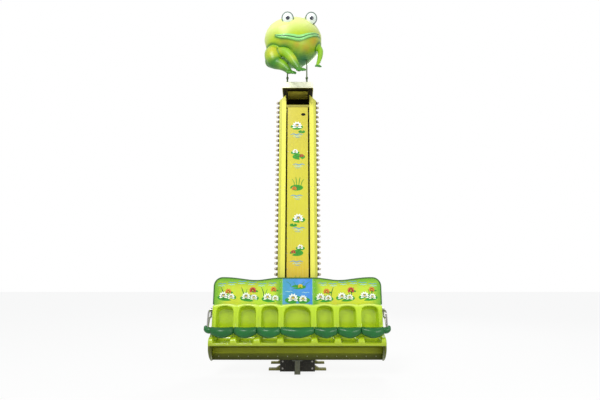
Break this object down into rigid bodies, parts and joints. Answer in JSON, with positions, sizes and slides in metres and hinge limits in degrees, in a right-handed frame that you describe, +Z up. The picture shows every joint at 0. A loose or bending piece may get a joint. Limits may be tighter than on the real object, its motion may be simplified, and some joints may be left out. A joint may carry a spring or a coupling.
{
  "type": "drop tower ride",
  "caption": "Children's drop tower: a lamp-lined tower with a bench car that slides up its front, a padded lap bar across the seats and a frog figure on top.",
  "frame": {"origin": "on the ground, under the middle of the tower", "axes": "+X to the right as one faces the seats, +Y from the seats towards the tower's back, +Z up"},
  "size_m": [2.768, 1.2803, 6.1945],
  "materials": {
    "base_black": "satin",
    "base_olive": "satin",
    "post_grey": "satin",
    "column_yellow": "gloss",
    "panel_yellow": "gloss",
    "lamp_strip": "satin",
    "cap_cream": "gloss",
    "frog_green": "gloss",
    "frog_eye": "gloss",
    "carriage_grey": "satin",
    "roller_dark": "matte",
    "panel_lime": "gloss",
    "panel_blue": "gloss",
    "rim_green": "gloss",
    "seat_lime": "gloss",
    "pad_green": "gloss",
    "steel": "satin"
  },
  "bodies": {
    "tower": {"base_plate": "base_black", "base_housing": "base_black", "foot_plate": "base_black", "outriggers": "base_olive", "landing_post": "post_grey", "column_left": "column_yellow", "column_right": "column_yellow", "front_panel": "panel_yellow", "panel_ledge": "column_yellow", "back_cover": "panel_yellow", "lamp_rail_left": "lamp_strip", "lamp_rail_right": "lamp_strip", "head_frame": "base_black", "head_cap": "cap_cream", "frog_body": "frog_green", "frog_eyes": "frog_eye", "frog_legs": "frog_green", "frog_arms": "frog_green", "frog_posts": "base_black"},
    "car": {"carriage_frame": "carriage_grey", "carriage_rollers": "roller_dark", "car_frame": "carriage_grey", "back_panel_left": "panel_lime", "back_panel_centre": "panel_blue", "back_panel_right": "panel_lime", "back_panel_rim": "rim_green", "end_cheek_left": "seat_lime", "end_cheek_right": "seat_lime", "skirt_panel": "seat_lime", "pivot_brackets": "steel", "seat_1": "seat_lime", "seat_2": "seat_lime", "seat_3": "seat_lime", "seat_4": "seat_lime", "seat_5": "seat_lime", "seat_6": "seat_lime", "seat_7": "seat_lime"},
    "lap_bar": {"lap_tube": "steel", "lap_arm_left": "steel", "lap_arm_right": "steel", "lap_end_caps": "pad_green", "lap_pad_1": "pad_green", "lap_pad_2": "pad_green", "lap_pad_3": "pad_green", "lap_pad_4": "pad_green", "lap_pad_5": "pad_green", "lap_pad_6": "pad_green", "lap_pad_7": "pad_green"}
  },
  "joints": [
    {"name": "car_lift", "type": "slide", "parent": "tower", "child": "car", "axis": [0, 0, 1], "range_m": [0, 2.8]},
    {"name": "lap_bar_hinge", "type": "hinge", "parent": "car", "child": "lap_bar", "pos_m": [0, -0.385, 0.942], "axis": [-1, 0, 0], "range_deg": [0, 100]}
  ]
}
